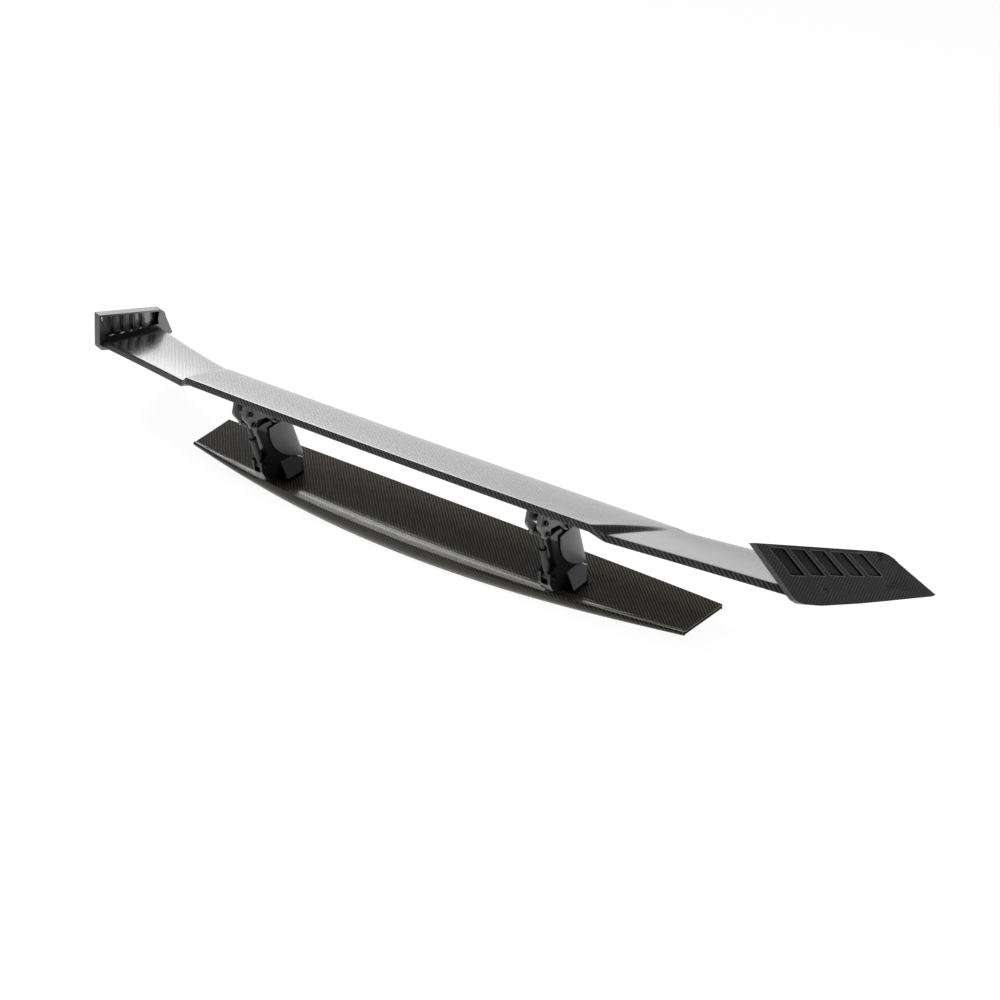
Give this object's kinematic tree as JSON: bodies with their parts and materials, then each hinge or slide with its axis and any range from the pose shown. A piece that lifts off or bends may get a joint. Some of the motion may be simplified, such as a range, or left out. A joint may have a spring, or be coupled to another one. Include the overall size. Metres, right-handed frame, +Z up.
{
  "type": "racing rear wing",
  "caption": "Racing rear wing in carbon fibre: pitched aerofoil with louvred, canted endplates, carried on towers with adjuster struts over a bowed deck panel.",
  "frame": {"origin": "on the deck panel's flat underside, midway across the car", "axes": "+X across the car to its right as seen from behind, +Y to the car's nose, +Z up"},
  "size_m": [1.7616, 0.379, 0.2787],
  "materials": {
    "gloss_carbon": "clear-coated 2x2 twill weave",
    "inner_laminate": "matt laminate",
    "gloss_black": "gloss black paint",
    "satin_grey": "satin",
    "bracket_grey": "satin anodised",
    "black_steel": "black oxide",
    "bare_aluminium": "machined",
    "bronze": "machined",
    "gasket_rubber": "matt"
  },
  "bodies": {
    "deck": {"deck_upper_skin": "gloss_carbon", "deck_lower_skin": "inner_laminate", "deck_ribs": "inner_laminate", "deck_inserts": "bronze", "stand_plates": "bare_aluminium", "tower_gaskets": "gasket_rubber", "tower_left": "gloss_black", "tower_right": "gloss_black", "tower_bolts": "black_steel", "fairing_left": "satin_grey", "fairing_right": "satin_grey", "pivot_bushes": "bronze", "strut_lower_bolts": "black_steel"},
    "wing": {"wing_upper_skin": "gloss_carbon", "wing_lower_skin": "gloss_carbon", "wing_front_spar": "inner_laminate", "wing_rear_spar": "inner_laminate", "wing_hardpoints": "bare_aluminium", "tip_ribs": "bare_aluminium", "endplate_left": "gloss_carbon", "endplate_right": "gloss_carbon", "endplate_screws": "black_steel", "bracket_left": "bracket_grey", "bracket_right": "bracket_grey", "bracket_bolts": "black_steel", "bracket_spacers": "bare_aluminium", "spacer_bolts": "black_steel", "pivot_bolts": "black_steel", "pivot_nuts": "black_steel", "strut_upper_bolts": "black_steel"},
    "barrel_left": {"strut_barrel_left": "gloss_black", "strut_gland_left": "black_steel"},
    "barrel_right": {"strut_barrel_right": "gloss_black", "strut_gland_right": "black_steel"},
    "rod_left": {"strut_rod_left": "gloss_black"},
    "rod_right": {"strut_rod_right": "gloss_black"}
  },
  "joints": [
    {"name": "wing_pitch", "type": "hinge", "parent": "deck", "child": "wing", "pos_m": [0, -0.02991, 0.15006], "axis": [1, 0, 0], "range_deg": [-4, 12]},
    {"name": "strut_swing_left", "type": "hinge", "parent": "deck", "child": "barrel_left", "pos_m": [-0.325, -0.064, 0.062], "axis": [1, 0, 0], "range_deg": [-1, 3]},
    {"name": "strut_swing_right", "type": "hinge", "parent": "deck", "child": "barrel_right", "pos_m": [0.325, -0.064, 0.062], "axis": [1, 0, 0], "range_deg": [-1, 3]},
    {"name": "strut_extend_left", "type": "slide", "parent": "barrel_left", "child": "rod_left", "axis": [0, -0.256, 0.9667], "range_m": [-0.0125, 0.0045]},
    {"name": "strut_extend_right", "type": "slide", "parent": "barrel_right", "child": "rod_right", "axis": [0, -0.256, 0.9667], "range_m": [-0.0125, 0.0045]}
  ],
  "couplings": [
    {"joint": "strut_swing_left", "follows": "wing_pitch", "ratio": 0.22511},
    {"joint": "strut_swing_right", "follows": "wing_pitch", "ratio": 0.22511},
    {"joint": "strut_extend_left", "follows": "wing_pitch", "m_per_rad": -0.056722},
    {"joint": "strut_extend_right", "follows": "wing_pitch", "m_per_rad": -0.056722}
  ]
}
